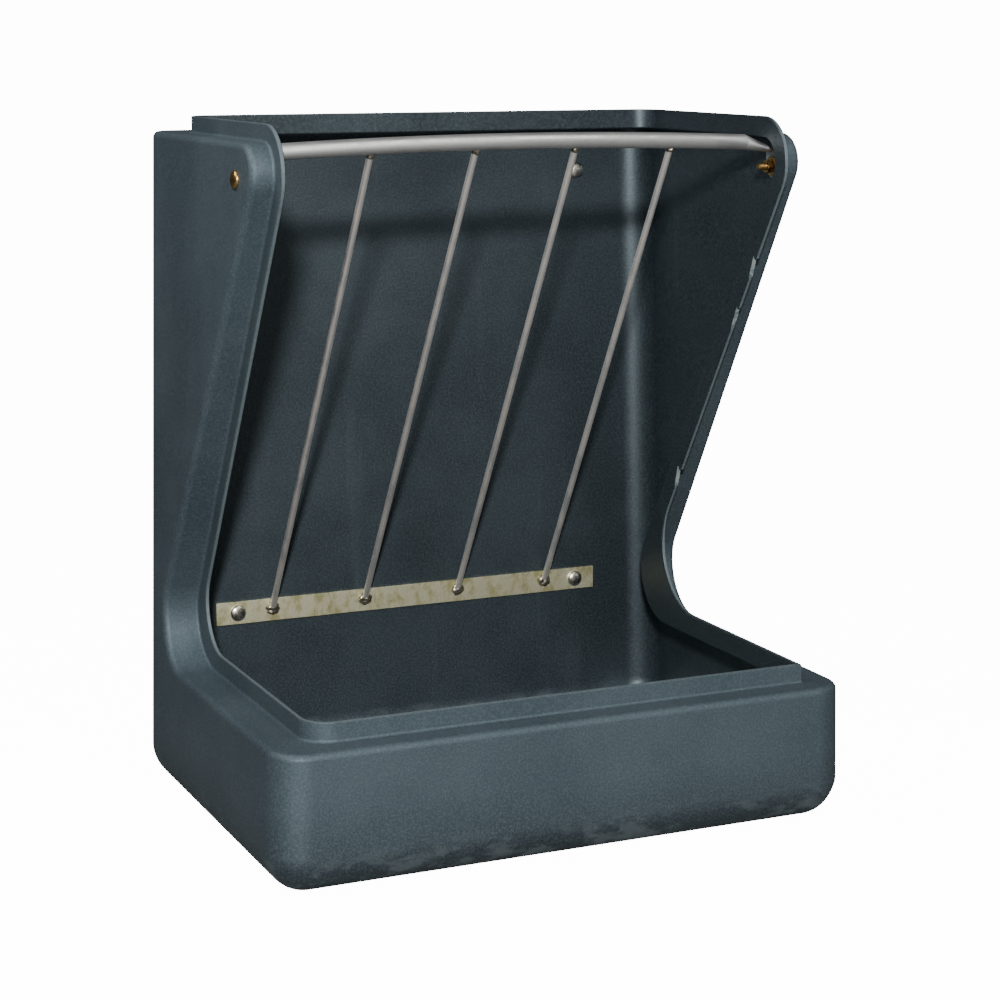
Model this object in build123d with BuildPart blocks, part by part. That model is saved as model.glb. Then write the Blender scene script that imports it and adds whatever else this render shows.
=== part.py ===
# Hay rack feeder: a one-piece moulded plastic hopper and trough, with a rack of four
# steel rods welded between an arched top rail and a flat bar, and bolts for a wall.
# Millimetres. +X is the width, -Y the open front, +Z up. The origin is the middle of
# the moulded base, on the floor.

import math
import os

from build123d import *

# Moulded body
base_width = 629.0          # 24 3/4 in across the base
top_width = 587.0           # the sides lean in a little, so that the mould lets go
depth = 444.0               # 17.5 in
shoulder_z = 705.0          # top of the rounded shoulder
trough_z = 145.0            # shoulder of the trough
wall = 4.5
slant_deg = 32.0            # the open front leans out by this angle from upright
waist_y = 199.0             # where the slanted front would meet the trough's shoulder
waist_radius = 55.0
brow_radius = 29.0          # corner between the slanted front and the top
front_corner_radius = 36.0
back_corner_radius = 30.0
bottom_radius = 43.0
shoulder_radius = 7.0

# Trimmed lip round the opening
lip_rise = 17.0             # along the slanted front and the top
lip_front_rise = 20.0       # round the trough
lip_half_width = 270.0
lip_front_y = -193.0
lip_back_y = 158.0
lip_front_corner = {-1: 30.0, 1: 12.0}      # trimmed by hand, so the sides differ
lip_back_corner = 26.0
lip_brow_radius = 46.0
lip_waist_radius = {-1: 48.0, 1: 74.0}
trim_nicks = [(575.0, 5.3, 26.0), (520.0, 3.0, 30.0), (326.0, 7.0, 26.0)]   # z, depth, run
lip_foot_radius = 3.0
lip_under_radius = 2.0
lip_edge_radius = 1.2
cut_z = 74.0                # the opening is cut down to here, well inside the hollow
step_z = 414.0              # below this height the cut also clears the waist
waist_cut_y = 186.0

# Rack
rail_diameter = 16.0
rail_wall = 1.5
rail_round_half = 252.0     # the tube is round to here, and flattened beyond
rail_end_y, rail_end_z = -84.0, 695.0
rail_mid_y, rail_mid_z = -92.0, 701.0
rail_flat_z = 686.0         # the flattened end passes under the shoulder
tab_width = 24.0
tab_thickness = 3.6
rail_bolt_y, rail_bolt_z = -84.0, 670.0
rod_diameter = 6.8
rod_foot_x = [-167.0, -57.0, 57.0, 167.0]
rod_head_x = [-159.0, -50.0, 58.0, 166.0]      # set by eye, so two rods lean
rod_foot_z = 177.0          # where a rod's axis meets the face of the bar
bar_length, bar_height, bar_thickness = 463.0, 25.4, 3.0
bar_mid_z = 175.3
head_weld_radius, head_weld_length = 6.0, 5.0
foot_weld_radius, foot_weld_sink = 9.0, 4.0

# Fasteners, all 5/16 in
wall_bolt_x = 207.0
wall_bolt_top_z = 652.0
wall_bolt_length = 31.75
side_bolt_length = 25.4
hardware = {"shank": 3.97, "thread": 3.8, "hole": 4.3, "head": 9.1, "dome": 4.6,
            "washer": 10.3, "washer_thick": 1.6, "flats": 12.7, "nut_thick": 6.75}
head_rim = 0.8              # straight edge under a bolt's dome
bolt_point = 0.8            # chamfer at a bolt's end
nut_chamfer = 0.9
thread_gap = 0.05           # between a nut and the bolt in it

# Worked out
back_y = depth / 2
wall_y = back_y - wall      # inner face of the back wall
bar_y = wall_y - bar_thickness
slant = math.radians(slant_deg)
draft = math.atan((base_width - top_width) / 2 / shoulder_z)
brow_y = waist_y - (shoulder_z - trough_z) * math.tan(slant)
lip_out = lip_rise / math.cos(slant)        # the lip's rise, measured along Y
lip_top_z, lip_low_z = shoulder_z + lip_rise, trough_z + lip_front_rise
lip_waist_y = waist_y - lip_front_rise * math.tan(slant) - lip_out
lip_brow_y = brow_y - lip_rise * math.tan(slant) - lip_out
rod_radius, rail_radius = rod_diameter / 2, rail_diameter / 2

os.makedirs("parts", exist_ok=True)


def save(builder, name):
    """Label a finished piece and write it as its own file."""
    builder.part.label = name
    export_step(builder.part, f"parts/{name}.step")


def half_width(z):
    """Half the body's outer width at a height."""
    return base_width / 2 - z * math.tan(draft)


# ---- Moulded body ---------------------------------------------------------------

# Side outline: up the back, over the top, down the slanted front to the waist, and
# forward along the trough.
with BuildSketch() as outline:
    with BuildLine():
        Polyline(
            (back_y, 0), (-back_y, 0), (-back_y, trough_z), (waist_y, trough_z),
            (brow_y, shoulder_z), (back_y, shoulder_z), close=True,
        )
    make_face()
    fillet(outline.vertices().sort_by_distance((waist_y, trough_z))[0], waist_radius)
    fillet(outline.vertices().sort_by_distance((brow_y, shoulder_z))[0], brow_radius)


def moulded_form(inset, front_corner, back_corner, bottom, shoulder):
    """The closed outer form, or with an inset the hollow inside it."""
    with BuildPart() as form:
        with BuildSketch(Plane.YZ):
            add(outline.sketch)
            if inset:
                offset(amount=-inset)
        extrude(amount=base_width / 2, both=True)
        low, high = half_width(0) - inset, half_width(shoulder_z) - inset
        with BuildSketch(Plane.XZ):
            with BuildLine():
                Polyline(
                    (-low, 0), (low, 0), (high, shoulder_z), (-high, shoulder_z), close=True
                )
            make_face()
        extrude(amount=depth, both=True, mode=Mode.INTERSECT)
        fillet(form.edges().group_by(Axis.Z)[0], bottom)
        upright = form.edges().filter_by(lambda e: abs((e % 0.5).Z) > 0.99)
        fillet(upright.group_by(Axis.Y)[0], front_corner)
        fillet(upright.group_by(Axis.Y)[-1], back_corner)
        above = form.edges().filter_by(
            lambda e: e.bounding_box().min.Z > inset + bottom + 1 and abs((e % 0.5).Z) < 0.99
        )
        bends = above.filter_by(Axis.X).filter_by(
            lambda e: abs(e.center().Y) < back_y - inset - back_corner / 2
        )
        fillet([e for e in above if e not in bends], shoulder)
    return form


def opening_column(inset):
    """A column with the plan shape of the opening, inset from the lip's outer face."""
    half = lip_half_width - inset
    with BuildPart() as column:
        with BuildSketch(Plane.XY.offset(cut_z)) as low:
            with Locations((0, lip_front_y + inset)):
                Rectangle(
                    2 * half, waist_cut_y - lip_front_y - inset, align=(Align.CENTER, Align.MIN)
                )
            front = low.vertices().group_by(Axis.Y)[0].sort_by(Axis.X)
            for corner, radius in zip(front, lip_front_corner.values()):
                fillet(corner, radius - inset)
        extrude(amount=step_z - cut_z)
        with BuildSketch(Plane.XY.offset(step_z)) as high:
            with Locations((0, lip_back_y - inset)):
                Rectangle(2 * half, depth, align=(Align.CENTER, Align.MAX))
            fillet(high.vertices().group_by(Axis.Y)[-1], lip_back_corner - inset)
        extrude(amount=step_z)
    return column


def lip_half(side):
    """One side of the lip's block: its edge is the trimmed line, its foot is buried."""
    with BuildPart() as block:
        with BuildSketch(Plane.YZ) as edge:
            with BuildLine():
                Polyline(
                    (waist_cut_y, cut_z), (lip_front_y, cut_z), (lip_front_y, lip_low_z),
                    (lip_waist_y, lip_low_z), (lip_brow_y, lip_top_z),
                    (lip_back_y, lip_top_z), (lip_back_y, step_z), (waist_cut_y, step_z),
                    close=True,
                )
            make_face()
        extrude(amount=side * lip_half_width)
        bends = block.edges().filter_by(Axis.X)
        low_bend = bends.sort_by_distance((0, lip_waist_y, lip_low_z))[0]
        high_bend = bends.sort_by_distance((0, lip_brow_y, lip_top_z))[0]
        fillet(low_bend, lip_waist_radius[side])
        fillet(high_bend, lip_brow_radius)
        add(opening_column(0).part, mode=Mode.INTERSECT)
    return block


def side_seat(side):
    """Plane on the outer face of a side at the rail's bolt, with +Z into the body."""
    return Plane(
        origin=(side * half_width(rail_bolt_z), rail_bolt_y, rail_bolt_z),
        x_dir=(0, 1, 0),
        z_dir=(-side * math.cos(draft), 0, -math.sin(draft)),
    )


def wall_seat(side, z, y=wall_y):
    """Plane on the inner face of the back wall, with +Z out through the wall."""
    return Plane(origin=(side * wall_bolt_x, y, z), x_dir=(1, 0, 0), z_dir=(0, 1, 0))


wall_seats = [wall_seat(side, z) for z in (bar_mid_z, wall_bolt_top_z) for side in (-1, 1)]

with BuildPart() as lip:
    for side in (-1, 1):
        add(lip_half(side).part)


def proud(edge):
    """True for an edge that stands clear of the body's outline, on the lip's rim."""
    middle = edge @ 0.5
    clear = outline.sketch.face().distance_to(Vertex(middle.Y, middle.Z, 0)) > lip_rise / 2
    return clear and abs((edge % 0.5).Z) < 0.999


with BuildPart() as feeder_body:
    add(moulded_form(0, front_corner_radius, back_corner_radius, bottom_radius,
                     shoulder_radius).part)
    add(lip.part)
    fillet(feeder_body.edges(Select.NEW), lip_foot_radius)
    add(moulded_form(wall, front_corner_radius - wall, back_corner_radius,
                     bottom_radius - wall / 2, shoulder_radius - wall / 2).part,
        mode=Mode.SUBTRACT)
    add(opening_column(wall).part, mode=Mode.SUBTRACT)
    under_edges = feeder_body.edges(Select.NEW).filter_by(lambda e: not proud(e))
    fillet(under_edges, lip_under_radius)
    fillet(feeder_body.edges().filter_by(proud), lip_edge_radius)
    # Where the router dipped, the right side's lip has three nicks: a step, then a long run out.
    with BuildSketch(Plane.YZ.offset(lip_half_width - 2 * wall)):
        for nick_z, nick_depth, nick_run in trim_nicks:
            top = Vector(lip_waist_y - (nick_z - lip_low_z) * math.tan(slant), nick_z)
            inward = Vector(math.cos(slant), math.sin(slant))
            downward = Vector(math.sin(slant), -math.cos(slant))
            with BuildLine():
                Polyline(
                    top - inward, top + inward * nick_depth, top + downward * nick_run,
                    top + downward * nick_run - inward, close=True,
                )
            make_face()
    extrude(amount=3 * wall, mode=Mode.SUBTRACT)
    for seat in wall_seats:
        with BuildSketch(seat):
            Circle(hardware["hole"])
        extrude(amount=2 * wall, both=True, mode=Mode.SUBTRACT)
    for side in (-1, 1):
        with BuildSketch(side_seat(side)):
            Circle(hardware["hole"])
        extrude(amount=2 * wall, both=True, mode=Mode.SUBTRACT)
save(feeder_body, "feeder_body")

# ---- Rack -------------------------------------------------------------------------

# Centre line of the top rail: one gentle arch, highest and furthest forward in the middle.
with BuildLine() as arch:
    ThreePointArc(
        (-rail_round_half, rail_end_y, rail_end_z),
        (0, rail_mid_y, rail_mid_z),
        (rail_round_half, rail_end_y, rail_end_z),
    )
arch_start = Plane(origin=arch.line @ 0, z_dir=arch.line % 0)

with BuildPart() as rail_core:
    with BuildSketch(arch_start):
        Circle(rail_radius)
    sweep(path=arch.line)

with BuildPart() as top_rail:
    add(rail_core.part)
    with BuildSketch(arch_start):
        Circle(rail_radius - rail_wall)
    sweep(path=arch.line, mode=Mode.SUBTRACT)
    for side in (-1, 1):
        tab_x = half_width(rail_flat_z) - wall - tab_thickness
        end = arch.line @ (0 if side < 0 else 1)
        along = (arch.line % (0 if side < 0 else 1)) * side
        with BuildSketch(Plane(origin=end, x_dir=(0, 1, 0), z_dir=along)):
            Circle(rail_radius)
        with BuildSketch(Plane(origin=(side * tab_x, rail_end_y, rail_flat_z),
                               x_dir=(0, 1, 0), z_dir=(side, 0, 0))):
            Ellipse(tab_width / 2, tab_thickness / 2)
        loft()
        rise = rail_flat_z + tab_thickness / 2 - rail_bolt_z
        with BuildSketch(side_seat(side).offset(wall)):
            Circle(tab_width / 2)
            # The seat's +Y runs up the wall on the left and down it on the right.
            with Locations((0, -side * rise / 2)):
                Rectangle(tab_width, rise)
            Circle(hardware["hole"], mode=Mode.SUBTRACT)
        extrude(amount=tab_thickness)
save(top_rail, "top_rail")

with BuildPart() as lower_bar:
    with BuildSketch(Plane.XZ.offset(-wall_y)):
        with Locations((0, bar_mid_z)):
            Rectangle(bar_length, bar_height)
        with Locations((-wall_bolt_x, bar_mid_z), (wall_bolt_x, bar_mid_z)):
            Circle(hardware["hole"], mode=Mode.SUBTRACT)
    extrude(amount=bar_thickness)
save(lower_bar, "lower_bar")

for number, (head_x, foot_x) in enumerate(zip(rod_head_x, rod_foot_x), 1):
    sag = (head_x / rail_round_half) ** 2
    head = Vector(head_x, rail_mid_y + (rail_end_y - rail_mid_y) * sag,
                  rail_mid_z + (rail_end_z - rail_mid_z) * sag)
    foot = Vector(foot_x, bar_y, rod_foot_z)
    run = foot - head
    bar_face = Plane(origin=foot, z_dir=(0, -1, 0))
    rod_start = Plane(origin=head, x_dir=(1, 0, 0), z_dir=run)

    with BuildPart() as rod:
        with BuildSketch(rod_start):
            Circle(rod_radius)
        extrude(amount=run.length + 2 * rod_diameter)
        split(bisect_by=bar_face)
        add(rail_core.part, mode=Mode.SUBTRACT)
    save(rod, f"rack_rod_{number}")

    with BuildPart() as head_weld:
        with BuildSketch(rod_start):
            Circle(head_weld_radius)
        with BuildSketch(rod_start.offset(rail_radius + head_weld_length)):
            Circle(rod_radius + 0.3)
        loft()
        with BuildSketch(rod_start):
            Circle(rod_radius)
        extrude(amount=2 * rail_diameter, mode=Mode.SUBTRACT)
        add(rail_core.part, mode=Mode.SUBTRACT)
    save(head_weld, f"rod_head_weld_{number}")

    with BuildPart() as foot_weld:
        with Locations(foot + Vector(0, foot_weld_sink, 0)):
            Sphere(foot_weld_radius)
        split(bisect_by=bar_face)
        with BuildSketch(rod_start):
            Circle(rod_radius)
        extrude(amount=run.length + 2 * rod_diameter, mode=Mode.SUBTRACT)
    save(foot_weld, f"rod_foot_weld_{number}")

# ---- Fasteners --------------------------------------------------------------------


def make_bolt(seat, length, grip, name):
    """A domed bolt turned about its axis: head behind the seat, shank along its +Z."""
    radial = Plane(origin=seat.origin, x_dir=seat.x_dir, z_dir=seat.x_dir.cross(seat.z_dir))
    dome_mid = (hardware["head"] * 0.6, -head_rim - (hardware["dome"] - head_rim) * 0.76)
    with BuildPart() as bolt:
        with BuildSketch(radial):
            with BuildLine():
                ThreePointArc((0, -hardware["dome"]), dome_mid, (hardware["head"], -head_rim))
                Polyline(
                    (hardware["head"], -head_rim), (hardware["head"], 0), (hardware["shank"], 0),
                    (hardware["shank"], grip), (hardware["thread"], grip),
                    (hardware["thread"], length - bolt_point),
                    (hardware["thread"] - bolt_point, length), (0, length), (0, -hardware["dome"]),
                )
            make_face()
        revolve(axis=Axis(seat.origin, seat.z_dir))
    save(bolt, name)


def make_washer(seat, name):
    """A flat washer lying on the plane."""
    with BuildPart() as washer:
        with BuildSketch(seat):
            Circle(hardware["washer"])
            Circle(hardware["hole"], mode=Mode.SUBTRACT)
        extrude(amount=hardware["washer_thick"])
    save(washer, name)


def make_nut(seat, name):
    """A hexagon nut on the plane, with its corners chamfered at both faces."""
    corner = hardware["flats"] / math.sqrt(3)
    with BuildPart() as nut:
        with BuildSketch(seat):
            RegularPolygon(hardware["flats"] / 2, 6, major_radius=False)
            Circle(hardware["shank"] + thread_gap, mode=Mode.SUBTRACT)
        extrude(amount=hardware["nut_thick"])
        with BuildPart(mode=Mode.INTERSECT):
            with BuildSketch(seat):
                Circle(corner)
            disc = extrude(amount=hardware["nut_thick"])
            chamfer(disc.edges(), nut_chamfer)
    save(nut, name)


for index, seat in enumerate(wall_seats):
    place = ("lower_left", "lower_right", "upper_left", "upper_right")[index]
    through_bar = bar_thickness if "lower" in place else 0.0
    head_seat = seat.offset(-through_bar)
    behind = seat.offset(wall)
    nut_seat = behind.offset(hardware["washer_thick"])
    grip = through_bar + wall + hardware["washer_thick"] + hardware["nut_thick"]
    make_bolt(head_seat, wall_bolt_length, grip + 0.5, f"wall_bolt_{place}")
    make_washer(behind, f"wall_washer_{place}")
    make_nut(nut_seat, f"wall_nut_{place}")

for side, place in ((-1, "left"), (1, "right")):
    seat = side_seat(side)
    inside = seat.offset(wall + tab_thickness)
    grip = wall + tab_thickness + hardware["washer_thick"] + hardware["nut_thick"]
    make_bolt(seat, side_bolt_length, grip + 0.5, f"rail_bolt_{place}")
    make_washer(inside, f"rail_washer_{place}")
    make_nut(inside.offset(hardware["washer_thick"]), f"rail_nut_{place}")
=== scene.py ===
import math

import bpy
from mathutils import Matrix, Vector, noise


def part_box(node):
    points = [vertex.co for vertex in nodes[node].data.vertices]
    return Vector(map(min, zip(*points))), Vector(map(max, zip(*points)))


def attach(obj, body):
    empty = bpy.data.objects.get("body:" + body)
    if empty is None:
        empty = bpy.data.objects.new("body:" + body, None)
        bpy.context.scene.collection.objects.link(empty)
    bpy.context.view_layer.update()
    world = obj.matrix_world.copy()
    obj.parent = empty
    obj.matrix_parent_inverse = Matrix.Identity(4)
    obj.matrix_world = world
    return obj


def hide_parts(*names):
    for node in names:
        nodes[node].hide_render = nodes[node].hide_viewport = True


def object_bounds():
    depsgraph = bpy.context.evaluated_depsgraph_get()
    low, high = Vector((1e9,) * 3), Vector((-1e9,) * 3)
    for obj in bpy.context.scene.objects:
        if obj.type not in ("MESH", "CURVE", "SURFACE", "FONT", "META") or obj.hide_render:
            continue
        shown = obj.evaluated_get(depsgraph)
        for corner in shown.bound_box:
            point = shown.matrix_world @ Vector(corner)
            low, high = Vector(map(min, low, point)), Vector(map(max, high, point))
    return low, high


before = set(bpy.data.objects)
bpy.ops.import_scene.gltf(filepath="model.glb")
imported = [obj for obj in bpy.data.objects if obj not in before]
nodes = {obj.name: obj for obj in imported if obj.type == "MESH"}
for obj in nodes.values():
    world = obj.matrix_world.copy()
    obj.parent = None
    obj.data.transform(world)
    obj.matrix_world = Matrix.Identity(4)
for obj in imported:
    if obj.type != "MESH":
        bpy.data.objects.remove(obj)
cad_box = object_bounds()

# ---- Feeder body -------------------------------------------------------------------
# The body is one hollow moulding of slate coloured polyethylene. Powder melts on to the
# inside of a turning mould, so the outside has the mould's fine grain, and the inside is
# glossier, with a darker colour that is painted shade for the hollow. The router that
# opens it leaves a pale rim, paler still as a painted highlight. The foot is scuffed,
# and darker towards the bottom in painted shade.

slate = (0.0165, 0.0265, 0.0345)
slate_pale = (0.0240, 0.0355, 0.0440)
# painted shade: a darker slate laid over the foot
slate_foot_shade = (0.0050, 0.0085, 0.0115)
# painted shade: the inside's slate is darker, standing in for shade in the hollow
slate_hollow_shade = (0.0020, 0.0044, 0.0068)
slate_hollow_shade_pale = (0.0038, 0.0070, 0.0100)
slate_gleam = (0.76, 0.93, 1.00, 1.00)
slate_dust = (0.0820, 0.1000, 0.1080)
# the router's pale cut, brightened further as a painted highlight along the rim
slate_cut_and_highlight = (0.0850, 0.1120, 0.1220)
slate_torn = (0.2000, 0.2400, 0.2300)
scuff_height = 0.048
foot_shade_heights = (0.020, 0.085)               # the painted shade at the foot fades out between these
trough_rim_z = cad_box[0][2] + 0.165
top_rim_z = cad_box[1][2]
rim_inner, rim_outer = 0.2662, 0.2695       # across the rim's flat, from the middle
rim_slope = math.tan(math.radians(32))
rim_foot_y = 0.16645
ledge_z, waist_y, cad_back = 0.145, 0.199, 0.222
level_tolerance = 0.0004                    # a cut face this near a rim's height is its flat
side_cut_z, side_cut_y = (0.15, 0.7215), 0.157   # where the cut down the sides runs
shoulder_z, shoulder_tolerance = 0.705, 0.001
nick_z, nick_depth = (0.29, 0.58), 0.0010   # the torn stretch of the right lip
trough_heart_z, hopper_heart_z = 0.1, 0.6   # heights that the hollow's middle keeps to
hollow_front_y = 0.05
outside, rim, nick, inside = range(4)       # the body's material slots, in order


def new_group(name, inputs, outputs):
    """An empty shader group with named sockets: label, kind and first value."""
    group = bpy.data.node_groups.new(name, "ShaderNodeTree")
    for label, kind, value in inputs:
        socket = group.interface.new_socket(label, in_out="INPUT", socket_type=kind)
        socket.default_value = value
    for label, kind in outputs:
        group.interface.new_socket(label, in_out="OUTPUT", socket_type=kind)
    return group, group.nodes.new("NodeGroupInput"), group.nodes.new("NodeGroupOutput")


def place(tree, kind, settings=None, **inputs):
    """A node with its settings made, and its inputs linked or given plain values."""
    node = tree.nodes.new(kind)
    for key, value in (settings or {}).items():
        setattr(node, key, value)
    for key, source in inputs.items():
        key = int(key[1:]) if key[1:].isdigit() else key.replace("_", " ")
        if isinstance(source, bpy.types.NodeSocket):
            tree.links.new(source, node.inputs[key])
        else:
            node.inputs[key].default_value = source
    return node


def maths(tree, operation, first, second):
    """One sum on two values."""
    return place(tree, "ShaderNodeMath", {"operation": operation}, i0=first, i1=second).outputs[0]


def build_cloudy_mask():
    """Soft patches between two limits, on the object's own coordinates."""
    group, entry, leave = new_group(
        "cloudy_mask",
        [("Scale", "NodeSocketFloat", 10.0), ("Detail", "NodeSocketFloat", 4.0),
         ("Low", "NodeSocketFloat", 0.35), ("High", "NodeSocketFloat", 0.65),
         ("Stretch", "NodeSocketVector", (1.0, 1.0, 1.0))],
        [("Mask", "NodeSocketFloat")],
    )
    where = place(group, "ShaderNodeTexCoord").outputs["Object"]
    drawn = place(group, "ShaderNodeVectorMath", {"operation": "MULTIPLY"},
                  i0=where, i1=entry.outputs["Stretch"]).outputs[0]
    cloud = place(group, "ShaderNodeTexNoise", Vector=drawn, Scale=entry.outputs["Scale"],
                  Detail=entry.outputs["Detail"], Roughness=0.62)
    soft = place(group, "ShaderNodeMapRange", {"interpolation_type": "SMOOTHSTEP"},
                 Value=cloud.outputs["Fac"], From_Min=entry.outputs["Low"],
                 From_Max=entry.outputs["High"])
    group.links.new(soft.outputs["Result"], leave.inputs["Mask"])
    return group


def build_grain_height():
    """A fine grain over a slow wave, for bump, and the grain alone for its specks."""
    group, entry, leave = new_group(
        "grain_height",
        [("Grain Size", "NodeSocketFloat", 700.0), ("Grain Depth", "NodeSocketFloat", 0.5),
         ("Wave Size", "NodeSocketFloat", 14.0), ("Wave Depth", "NodeSocketFloat", 0.5)],
        [("Height", "NodeSocketFloat"), ("Speck", "NodeSocketFloat")],
    )
    where = place(group, "ShaderNodeTexCoord").outputs["Object"]
    grain = place(group, "ShaderNodeTexNoise", Vector=where,
                  Scale=entry.outputs["Grain Size"], Detail=2.5, Roughness=0.6).outputs["Fac"]
    wave = place(group, "ShaderNodeTexNoise", Vector=where,
                 Scale=entry.outputs["Wave Size"], Detail=1.0).outputs["Fac"]
    height = maths(group, "ADD", maths(group, "MULTIPLY", grain, entry.outputs["Grain Depth"]),
                   maths(group, "MULTIPLY", wave, entry.outputs["Wave Depth"]))
    group.links.new(height, leave.inputs["Height"])
    group.links.new(grain, leave.inputs["Speck"])
    return group


cloudy_mask = build_cloudy_mask()
grain_height = build_grain_height()


def with_group(tree, group, **values):
    """The group placed in a material with that material's own values."""
    node = tree.nodes.new("ShaderNodeGroup")
    node.node_tree = group
    for key, value in values.items():
        node.inputs[key.replace("_", " ")].default_value = value
    return node


def new_material(name, **fixed):
    """A material with one Principled shader, its plain values set on its own sockets."""
    material = bpy.data.materials.new(name)
    material.use_nodes = True
    shader = material.node_tree.nodes["Principled BSDF"]
    for key, value in fixed.items():
        shader.inputs[key.replace("_", " ")].default_value = value
    return material, material.node_tree, shader


def blend(tree, mask, first, second):
    """Colour that goes from the first to the second as the mask rises."""
    mix = place(tree, "ShaderNodeMix", {"data_type": "RGBA"}, i0=mask)
    for index, colour in ((6, first), (7, second)):
        if isinstance(colour, bpy.types.NodeSocket):
            tree.links.new(colour, mix.inputs[index])
        else:
            mix.inputs[index].default_value = (*colour, 1.0)
    return mix.outputs[2]


def fit_between(tree, value, low, high, start=0.0, end=1.0):
    """The value carried from one range to another."""
    return place(tree, "ShaderNodeMapRange", Value=value, From_Min=start, From_Max=end,
                 To_Min=low, To_Max=high).outputs["Result"]


def add_bump(tree, shader, height, strength, distance):
    """Relief on the surface from a height."""
    bump = place(tree, "ShaderNodeBump", Height=height, Strength=strength, Distance=distance)
    tree.links.new(bump.outputs["Normal"], shader.inputs["Normal"])


def build_moulded_skin(name, deep, pale, smooth, rough, speckle, relief):
    """Moulded skin: patchy slate, pale specks, dust and scuffs that gather at the foot, and
    painted shade that darkens it towards the foot.
    """
    material, tree, shader = new_material(name, Specular_IOR_Level=0.9,
                                          Specular_Tint=slate_gleam)
    patches = with_group(tree, cloudy_mask, Scale=6.0, Detail=6.0, Low=0.36, High=0.66)
    scrapes = with_group(tree, cloudy_mask, Scale=38.0, Detail=10.0, Low=0.47, High=0.62,
                         Stretch=(0.7, 0.7, 1.3))
    streaks = with_group(tree, cloudy_mask, Scale=26.0, Detail=5.0, Low=0.55, High=0.80,
                         Stretch=(1.0, 1.0, 0.12))
    grain = with_group(tree, grain_height, Grain_Size=460.0, Grain_Depth=0.6,
                       Wave_Size=8.0, Wave_Depth=2.6)
    where = place(tree, "ShaderNodeTexCoord").outputs["Object"]
    height = place(tree, "ShaderNodeSeparateXYZ", Vector=where).outputs["Z"]
    low_down = fit_between(tree, height, 1.0, 0.0, 0.0, scuff_height)
    scuffed = maths(tree, "MULTIPLY", low_down, scrapes.outputs["Mask"])
    colour = blend(tree, patches.outputs["Mask"], deep, pale)
    # painted shade: the colour darkens towards the foot, fading out between the two heights
    foot_shade = fit_between(tree, height, 0.90, 0.0, *foot_shade_heights)
    colour = blend(tree, foot_shade, colour, slate_foot_shade)
    specks = fit_between(tree, grain.outputs["Speck"], 0.0, speckle, 0.42, 0.72)
    colour = blend(tree, specks, colour, slate_dust)
    for mask, share in ((streaks.outputs["Mask"], 0.10), (scuffed, 0.90)):
        colour = blend(tree, maths(tree, "MULTIPLY", mask, share), colour, slate_dust)
    tree.links.new(colour, shader.inputs["Base Color"])
    gloss = maths(tree, "ADD", fit_between(tree, patches.outputs["Mask"], smooth, rough),
                  maths(tree, "MULTIPLY", scuffed, 0.15))
    tree.links.new(gloss, shader.inputs["Roughness"])
    add_bump(tree, shader, grain.outputs["Height"], relief, 0.0006)
    return material


def build_cut_edge(name, colour, torn, roughness):
    """Plastic after the router: paler, matt, with short cutter marks. On the rim the pale colour
    is brightened further as a painted highlight.
    """
    material, tree, shader = new_material(name, Roughness=roughness)
    marks = with_group(tree, cloudy_mask, Scale=160.0, Detail=6.0, Low=0.42, High=0.62,
                       Stretch=(0.5, 1.0, 1.0))
    grain = with_group(tree, grain_height, Grain_Size=900.0, Grain_Depth=1.2,
                       Wave_Size=220.0, Wave_Depth=1.5)
    tree.links.new(blend(tree, marks.outputs["Mask"], colour, torn), shader.inputs["Base Color"])
    add_bump(tree, shader, grain.outputs["Height"], 0.6, 0.0005)
    return material


def merged_copy(node_name, name):
    """A CAD node's mesh copied and merged into one clean skin."""
    bpy.ops.object.select_all(action="DESELECT")
    piece = bpy.data.objects.new(name, nodes[node_name].data.copy())
    bpy.context.scene.collection.objects.link(piece)
    piece.select_set(True)
    bpy.context.view_layer.objects.active = piece
    bpy.ops.mesh.customdata_custom_splitnormals_clear()
    bpy.ops.object.mode_set(mode="EDIT")
    bpy.ops.mesh.select_all(action="SELECT")
    bpy.ops.mesh.remove_doubles(threshold=0.00002)
    bpy.ops.object.mode_set(mode="OBJECT")
    return piece


def smooth_by_area(piece, degrees):
    """Round edges under the angle shaded smooth, with the flat faces kept flat."""
    bpy.ops.object.select_all(action="DESELECT")
    piece.select_set(True)
    bpy.context.view_layer.objects.active = piece
    bpy.ops.object.shade_smooth_by_angle(angle=math.radians(degrees))
    weighted = piece.modifiers.new("even", "WEIGHTED_NORMAL")
    weighted.keep_sharp = True
    bpy.ops.object.modifier_apply(modifier="even")


body = merged_copy("feeder_body", "moulded_body")
body.data.materials.clear()
for finish in (build_moulded_skin("moulded_outside", slate, slate_pale, 0.58, 0.66, 0.42, 0.40),
               # the rim's pale colour is partly real routed plastic and partly a painted highlight
               build_cut_edge("routed_rim_and_highlight", slate_cut_and_highlight, slate_dust, 0.55),
               build_cut_edge("torn_nick", slate_torn, slate_cut_and_highlight, 0.60),
               # the inside skin's darker colour is painted shade for the hollow
               build_moulded_skin("moulded_inside_shaded", slate_hollow_shade, slate_hollow_shade_pale,
                                  0.44, 0.52, 0.26, 0.30)):
    body.data.materials.append(finish)


def is_cut(face):
    """Whether the router made the face: the flat of a rim, or the cut down a side."""
    x, y, z = face.center
    up, forward = face.normal.z, -face.normal.y
    if up > 0.9 and min(abs(z - trough_rim_z), abs(z - top_rim_z)) < level_tolerance:
        return True
    if up > 0.9 and abs(z - shoulder_z) < shoulder_tolerance:
        return False
    across = rim_inner < abs(x) < rim_outer and abs(face.normal.x) < 0.25
    on_side = side_cut_z[0] < z < side_cut_z[1] and y < side_cut_y
    return across and (forward > 0.25 or up > 0.3) and on_side


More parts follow.
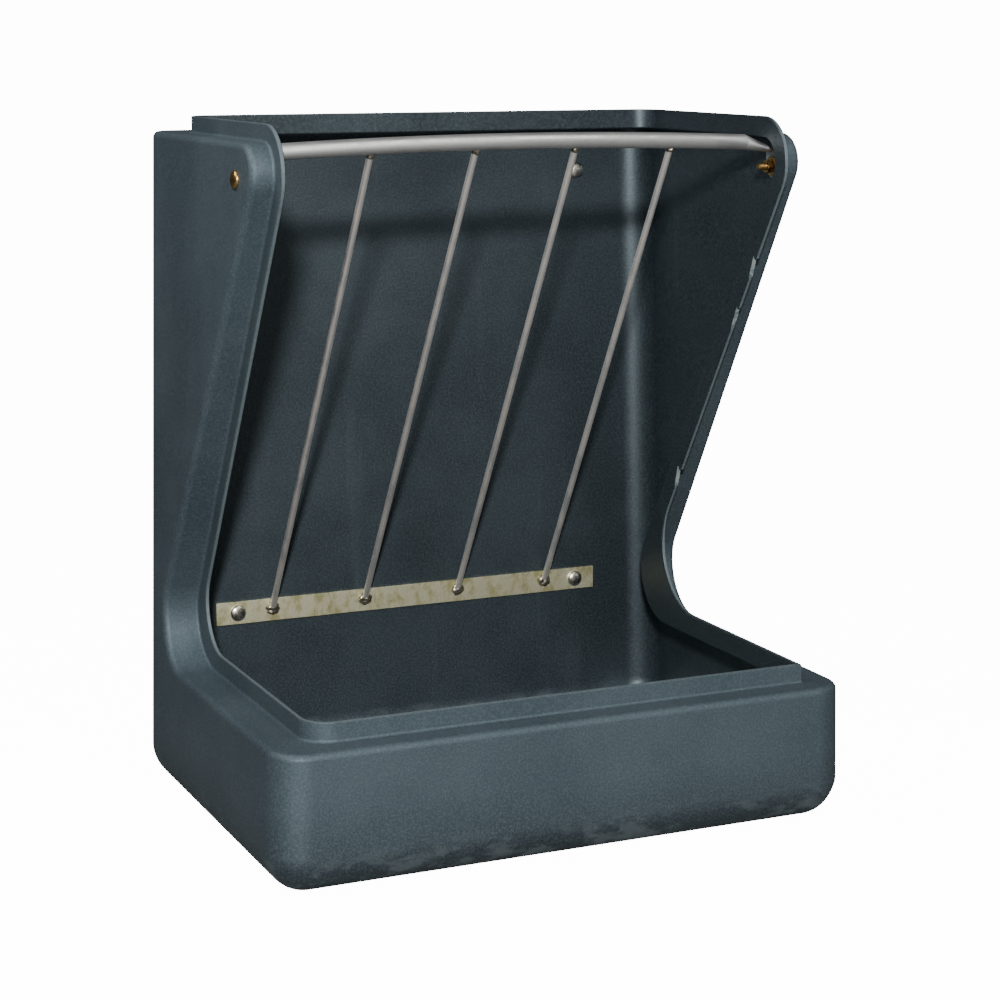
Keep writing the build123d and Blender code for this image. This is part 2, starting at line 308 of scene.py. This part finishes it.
def is_torn(face):
    """Whether a cut face lies in a nick, behind the line of the right lip."""
    x, y, z = face.center
    depth = y - (rim_foot_y - (z - trough_rim_z) * rim_slope)
    return x > 0 and nick_z[0] < z < nick_z[1] and depth > nick_depth


def faces_hollow(face):
    """Whether the face looks towards the middle of the hollow at its own height."""
    x, y, z = face.center
    front_y = waist_y - (z - ledge_z) * rim_slope
    hollow_y = 0.0 if z < ledge_z or y < hollow_front_y else (front_y + cad_back) / 2
    hollow_z = trough_heart_z if z < ledge_z + 0.001 else min(z, hopper_heart_z)
    return face.normal.dot(Vector((0, hollow_y, hollow_z)) - face.center) > 0


for face in body.data.polygons:
    if is_cut(face):
        face.material_index = nick if is_torn(face) else rim
    elif faces_hollow(face):
        face.material_index = inside
smooth_by_area(body, 40)
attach(body, "root")
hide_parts("feeder_body")

# ---- Top rail ----------------------------------------------------------------------
# The rail is a galvanised steel tube, rolled to a gentle arch. Its ends are pressed flat
# and bent down against the inside of the body, and a bolt goes through each.


def build_metal(name, dark, light, smooth, rough, scale, relief=0.3, stretch=(1, 1, 1)):
    """Metal with patches of two tones, its roughness going with them."""
    material, tree, shader = new_material(name, Metallic=1.0)
    patches = with_group(tree, cloudy_mask, Scale=scale, Detail=6.0, Low=0.34, High=0.66,
                         Stretch=stretch)
    grain = with_group(tree, grain_height, Grain_Size=1500.0, Grain_Depth=0.6,
                       Wave_Size=scale, Wave_Depth=0.6)
    tree.links.new(blend(tree, patches.outputs["Mask"], dark, light), shader.inputs["Base Color"])
    tree.links.new(fit_between(tree, patches.outputs["Mask"], rough, smooth),
                   shader.inputs["Roughness"])
    add_bump(tree, shader, grain.outputs["Height"], relief, 0.0003)
    return material


def finish_node(name, material):
    """A CAD piece whose shape is right, in its own finish."""
    nodes[name].data.materials.clear()
    nodes[name].data.materials.append(material)


finish_node("top_rail", build_metal("galvanised_tube", (0.50, 0.50, 0.49), (0.66, 0.66, 0.65),
                                    0.46, 0.58, 45.0, 0.35))

# ---- Lower strip -------------------------------------------------------------------
# A flat strip of zinc plated steel, sheared to length, lies across the back wall. The
# plating is passivated, so it is a patchy straw colour, with bright worn spots.

strip_low, strip_high = (Vector(v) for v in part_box("lower_bar"))
strip_edge = 0.0004
strip_wave = 0.00025
strip_parts = 48                            # cuts along it, so that it can wave
bpy.ops.object.select_all(action="DESELECT")
bpy.ops.mesh.primitive_cube_add(size=1, location=(strip_low + strip_high) / 2,
                                scale=strip_high - strip_low)
strip = bpy.context.active_object
strip.name = "zinc_strip"
bpy.ops.object.transform_apply(location=True, rotation=True, scale=True)
bpy.ops.object.mode_set(mode="EDIT")
bpy.ops.mesh.select_all(action="SELECT")
bpy.ops.mesh.bevel(offset=strip_edge, segments=2, affect="EDGES")
for step in range(1, strip_parts):
    cut_x = strip_low.x + (strip_high.x - strip_low.x) * step / strip_parts
    bpy.ops.mesh.select_all(action="SELECT")
    bpy.ops.mesh.bisect(plane_co=(cut_x, 0, 0), plane_no=(1, 0, 0))
bpy.ops.object.mode_set(mode="OBJECT")
for vertex in strip.data.vertices:
    sway = noise.noise(Vector((vertex.co.x * 22, 3.0, 0)))
    vertex.co.z += sway * strip_wave
    if vertex.co.y < strip_low.y + 0.001:
        dent = noise.noise(Vector((vertex.co.x * 30, 9.0, vertex.co.z * 60)))
        vertex.co.y += abs(dent) * strip_wave
smooth_by_area(strip, 35)
strip.data.materials.append(
    build_metal("straw_zinc", (0.38, 0.355, 0.185), (0.96, 0.93, 0.68), 0.46, 0.60, 75.0, 0.5,
                (1.0, 1.0, 0.6)))
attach(strip, "root")
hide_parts("lower_bar")

# ---- Rods --------------------------------------------------------------------------
# Four bright drawn steel rods, cut square, run from the rail down to the strip. Drawing
# leaves fine lines along them, and handling leaves dull brown patches.

rod_metal = build_metal("drawn_rod", (0.70, 0.66, 0.61), (0.98, 0.96, 0.92), 0.46, 0.62, 60.0,
                        0.25, (1.0, 1.0, 0.25))
for number in range(1, 5):
    finish_node(f"rack_rod_{number}", rod_metal)

# ---- Welds -------------------------------------------------------------------------
# Each rod is welded by hand at both ends. A bead is a small lump of steel in rings that
# froze one over another, splashed with zinc from the strip, so no two are alike.

weld_metal = build_metal("weld_bead", (0.16, 0.14, 0.10), (0.58, 0.54, 0.42), 0.28, 0.50, 300.0,
                         0.8)
bead_size, bead_lump, bead_ring = 0.96, 0.20, 0.05   # shares of the bead's CAD size
lump_rate, ring_rate, ring_twist = 260, 2600, 1.5
for number in range(1, 5):
    for end in ("head", "foot"):
        node_name = f"rod_{end}_weld_{number}"
        low, high = (Vector(v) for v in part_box(node_name))
        middle, half = (low + high) / 2, (high - low) / 2
        if end == "foot":
            middle.y, half.y = high.y, high.y - low.y
        bpy.ops.object.select_all(action="DESELECT")
        bpy.ops.mesh.primitive_uv_sphere_add(segments=36, ring_count=22, radius=1,
                                             location=middle, scale=half)
        bead = bpy.context.active_object
        bead.name = f"{end}_weld_bead_{number}"
        bpy.ops.object.transform_apply(location=True, rotation=True, scale=True)
        for vertex in bead.data.vertices:
            out = vertex.co - middle
            own_place = Vector((number * 7.0, 0, len(end)))
            lump = noise.noise(out * lump_rate + own_place) * bead_lump
            around = math.atan2(out.z, out.x) * ring_twist
            ring = bead_ring * math.sin(out.length * ring_rate + around)
            vertex.co = middle + out * (bead_size + lump + ring)
        if end == "foot":
            bpy.ops.object.mode_set(mode="EDIT")
            bpy.ops.mesh.select_all(action="SELECT")
            bpy.ops.mesh.bisect(plane_co=(0, high.y, 0), plane_no=(0, 1, 0), clear_outer=True,
                                use_fill=True)
            bpy.ops.object.mode_set(mode="OBJECT")
        smooth_by_area(bead, 50)
        bead.data.materials.append(weld_metal)
        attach(bead, "root")
        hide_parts(node_name)

# ---- Bolts -------------------------------------------------------------------------
# Four bolts with low domed heads fix the strip and the body to a wall, and two more hold
# the rail. Their shanks are threaded by rolling, and a washer and nut close each.

head_radius, head_rim, dome_height = 0.0091, 0.0008, 0.0046
shank_radius, thread_root, thread_pitch = 0.0039, 0.0034, 0.001411
plain_share, threaded_share = 0.55, 0.45    # of the length under the head
thread_step, tip_height, tip_share = 0.0002, 0.0010, 0.72
ridge_sink, ridge_width = 0.985, 0.96       # ridges start inside the core, almost a pitch wide
dome_angles = (18, 34, 48, 60, 70, 79, 86)
head_sides, thread_sides = 40, 22
rail_bolt_lean = -0.0275                    # the rail's tabs and the body's sides lean a little


def build_bolt(name, node_name, along, metal):
    """A domed bolt along a direction, as long as its CAD node, made at its head's seat."""
    low, high = (Vector(v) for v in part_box(node_name))
    along = along.normalized()
    centre = (low + high) / 2
    reach = (high - low).dot(Vector([abs(c) for c in along]))
    reach -= 2 * head_radius * math.hypot(along.x, along.y) * abs(along.z)
    length = reach - dome_height
    bpy.ops.object.select_all(action="DESELECT")
    bpy.ops.mesh.primitive_circle_add(vertices=head_sides, radius=head_radius, fill_type="NOTHING")
    bolt = bpy.context.active_object
    bolt.name = name
    bpy.ops.object.mode_set(mode="EDIT")
    bpy.ops.mesh.select_all(action="SELECT")
    steps = [(head_rim, 1.0)] + [
        (head_rim + (dome_height - head_rim) * math.sin(t), math.cos(t))
        for t in (math.radians(a) for a in dome_angles)]
    rise, size = 0.0, 1.0
    for next_rise, next_size in steps:
        bpy.ops.mesh.extrude_region_move(
            TRANSFORM_OT_translate={"value": (0, 0, rise - next_rise)})
        bpy.ops.transform.resize(value=(next_size / size, next_size / size, 1))
        rise, size = next_rise, next_size
    bpy.ops.mesh.merge(type="CENTER")
    bpy.ops.mesh.select_all(action="DESELECT")
    bpy.ops.object.mode_set(mode="OBJECT")
    for vertex in bolt.data.vertices:
        vertex.select = abs(vertex.co.z) < 1e-7
    bpy.ops.object.mode_set(mode="EDIT")
    size = head_radius
    tip_and_step = 0.0012                   # thread_step and tip_height together
    for next_size, run in ((shank_radius, 0.0), (shank_radius, length * plain_share),
                           (thread_root, thread_step),
                           (thread_root, length * threaded_share - tip_and_step),
                           (thread_root * tip_share, tip_height)):
        bpy.ops.mesh.extrude_region_move(TRANSFORM_OT_translate={"value": (0, 0, run)})
        bpy.ops.transform.resize(value=(next_size / size, next_size / size, 1))
        size = next_size
    bpy.ops.mesh.edge_face_add()
    bpy.ops.mesh.select_all(action="SELECT")
    bpy.ops.mesh.normals_make_consistent(inside=False)
    bpy.ops.object.mode_set(mode="OBJECT")

    turns = int(length * threaded_share / thread_pitch) - 1
    start = length * plain_share
    bpy.ops.object.select_all(action="DESELECT")
    bpy.ops.mesh.primitive_circle_add(vertices=3, radius=1)
    ridge = bpy.context.active_object
    half_pitch = thread_pitch * 0.5
    for vertex, (radius, rise) in zip(ridge.data.vertices, (
            (thread_root * ridge_sink, -half_pitch * ridge_width), (shank_radius, 0.0),
            (thread_root * ridge_sink, half_pitch * ridge_width))):
        vertex.co = (radius, 0, start + half_pitch + rise)
    winding = ridge.modifiers.new("winding", "SCREW")
    winding.axis = "Z"
    winding.angle = math.radians(360)
    winding.screw_offset = thread_pitch
    winding.iterations = turns
    winding.steps = winding.render_steps = thread_sides
    winding.use_merge_vertices = True
    bpy.ops.object.modifier_apply(modifier="winding")
    bpy.ops.object.mode_set(mode="EDIT")
    bpy.ops.mesh.select_all(action="SELECT")
    bpy.ops.mesh.fill_holes(sides=4)
    bpy.ops.mesh.normals_make_consistent(inside=False)
    bpy.ops.object.mode_set(mode="OBJECT")
    bpy.ops.object.select_all(action="DESELECT")
    ridge.select_set(True)
    bolt.select_set(True)
    bpy.context.view_layer.objects.active = bolt
    bpy.ops.object.join()
    seat = centre - along * (reach / 2 - dome_height)
    bolt.matrix_world = (Matrix.Translation(seat)
                         @ along.to_track_quat("Z", "Y").to_matrix().to_4x4())
    bpy.ops.object.transform_apply(location=True, rotation=True, scale=True)
    smooth_by_area(bolt, 35)
    bolt.data.materials.append(metal)
    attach(bolt, "root")
    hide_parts(node_name)
    return bolt


wall_metal = build_metal("clear_zinc", (0.46, 0.43, 0.35), (0.90, 0.87, 0.78), 0.20, 0.40, 220.0)
rail_metal = build_metal("yellow_zinc", (0.28, 0.16, 0.05), (0.66, 0.43, 0.16), 0.22, 0.40, 220.0)
for place_name in ("lower_left", "lower_right", "upper_left", "upper_right"):
    bolt = build_bolt(f"wall_bolt_{place_name}_turned", f"wall_bolt_{place_name}",
                      Vector((0, 1, 0)), wall_metal)
    finish_node(f"wall_washer_{place_name}", wall_metal)
    finish_node(f"wall_nut_{place_name}", wall_metal)
for side, place_name in ((-1, "left"), (1, "right")):
    bolt = build_bolt(f"rail_bolt_{place_name}_turned", f"rail_bolt_{place_name}",
                      Vector((-side, 0, rail_bolt_lean)), rail_metal)
    finish_node(f"rail_washer_{place_name}", rail_metal)
    finish_node(f"rail_nut_{place_name}", rail_metal)

# ---- Studio ------------------------------------------------------------------------
# The floor and surround are bright to the camera alone and dim to everything else, so the
# dark plastic isn't lit from below. A small strong lamp stands far off behind the camera,
# with one soft lamp high on the left and a larger one high in front, to the right.

floor_dim, floor_pale = (0.14, 0.14, 0.14), (0.80, 0.80, 0.80)
surround_dim, camera_glow = 0.05, 14.0

bpy.ops.object.select_all(action="DESELECT")
bpy.ops.mesh.primitive_plane_add(size=60.0, location=(0, 0, cad_box[0][2]))
floor = bpy.context.active_object
floor.name = "studio_floor"
floor_paint, floor_tree, floor_shader = new_material("pale_floor", Roughness=0.9)
floor_shader.inputs["Emission Color"].default_value = (1.0, 1.0, 1.0, 1.0)
seen = place(floor_tree, "ShaderNodeLightPath").outputs["Is Camera Ray"]
floor_tree.links.new(blend(floor_tree, seen, floor_dim, floor_pale),
                     floor_shader.inputs["Base Color"])
floor_tree.links.new(maths(floor_tree, "MULTIPLY", seen, camera_glow),
                     floor_shader.inputs["Emission Strength"])
floor.data.materials.append(floor_paint)

surround = bpy.data.worlds.new("pale_surround")
bpy.context.scene.world = surround
surround.use_nodes = True
seen = place(surround.node_tree, "ShaderNodeLightPath").outputs["Is Camera Ray"]
glow = surround.node_tree.nodes["Background"]
glow.inputs["Color"].default_value = (1.0, 1.0, 1.0, 1.0)
strength = fit_between(surround.node_tree, seen, surround_dim, camera_glow)
surround.node_tree.links.new(strength, glow.inputs["Strength"])

middle = (Vector(cad_box[0]) + Vector(cad_box[1])) / 2


def add_lamp(name, azimuth, elevation, distance, size, power):
    """A round soft lamp at an angle round the feeder, facing its middle."""
    data = bpy.data.lights.new(name, "AREA")
    data.shape = "DISK"
    data.size = size
    data.energy = power
    lamp = bpy.data.objects.new(name, data)
    bpy.context.scene.collection.objects.link(lamp)
    turn, lift = math.radians(azimuth), math.radians(elevation)
    away = Vector((math.sin(turn) * math.cos(lift), -math.cos(turn) * math.cos(lift),
                   math.sin(lift)))
    lamp.location = middle + away * distance
    lamp.rotation_euler = (-away).to_track_quat("-Z", "Y").to_euler()


for lamp_name, azimuth, elevation, distance, size, power in (
        ("key_lamp", -24, 21, 4.6, 0.36, 345),
        ("left_softbox", -90, 50, 1.5, 0.7, 10),
        ("front_softbox", 30, 50, 2.6, 1.2, 18)):
    add_lamp(lamp_name, azimuth, elevation, distance, size, power)

camera_data = bpy.data.cameras.new("camera")
camera_data.sensor_width = 36.0
camera_data.lens = 84.36
camera = bpy.data.objects.new("camera", camera_data)
bpy.context.scene.collection.objects.link(camera)
camera.location = (-0.9736, -2.2044, 0.8038)
turn, pitch = math.radians(24.15), math.radians(11.24)
ahead = Vector((math.sin(turn) * math.cos(pitch), math.cos(turn) * math.cos(pitch),
                -math.sin(pitch)))
camera.rotation_euler = ahead.to_track_quat("-Z", "Y").to_euler()
bpy.context.scene.camera = camera
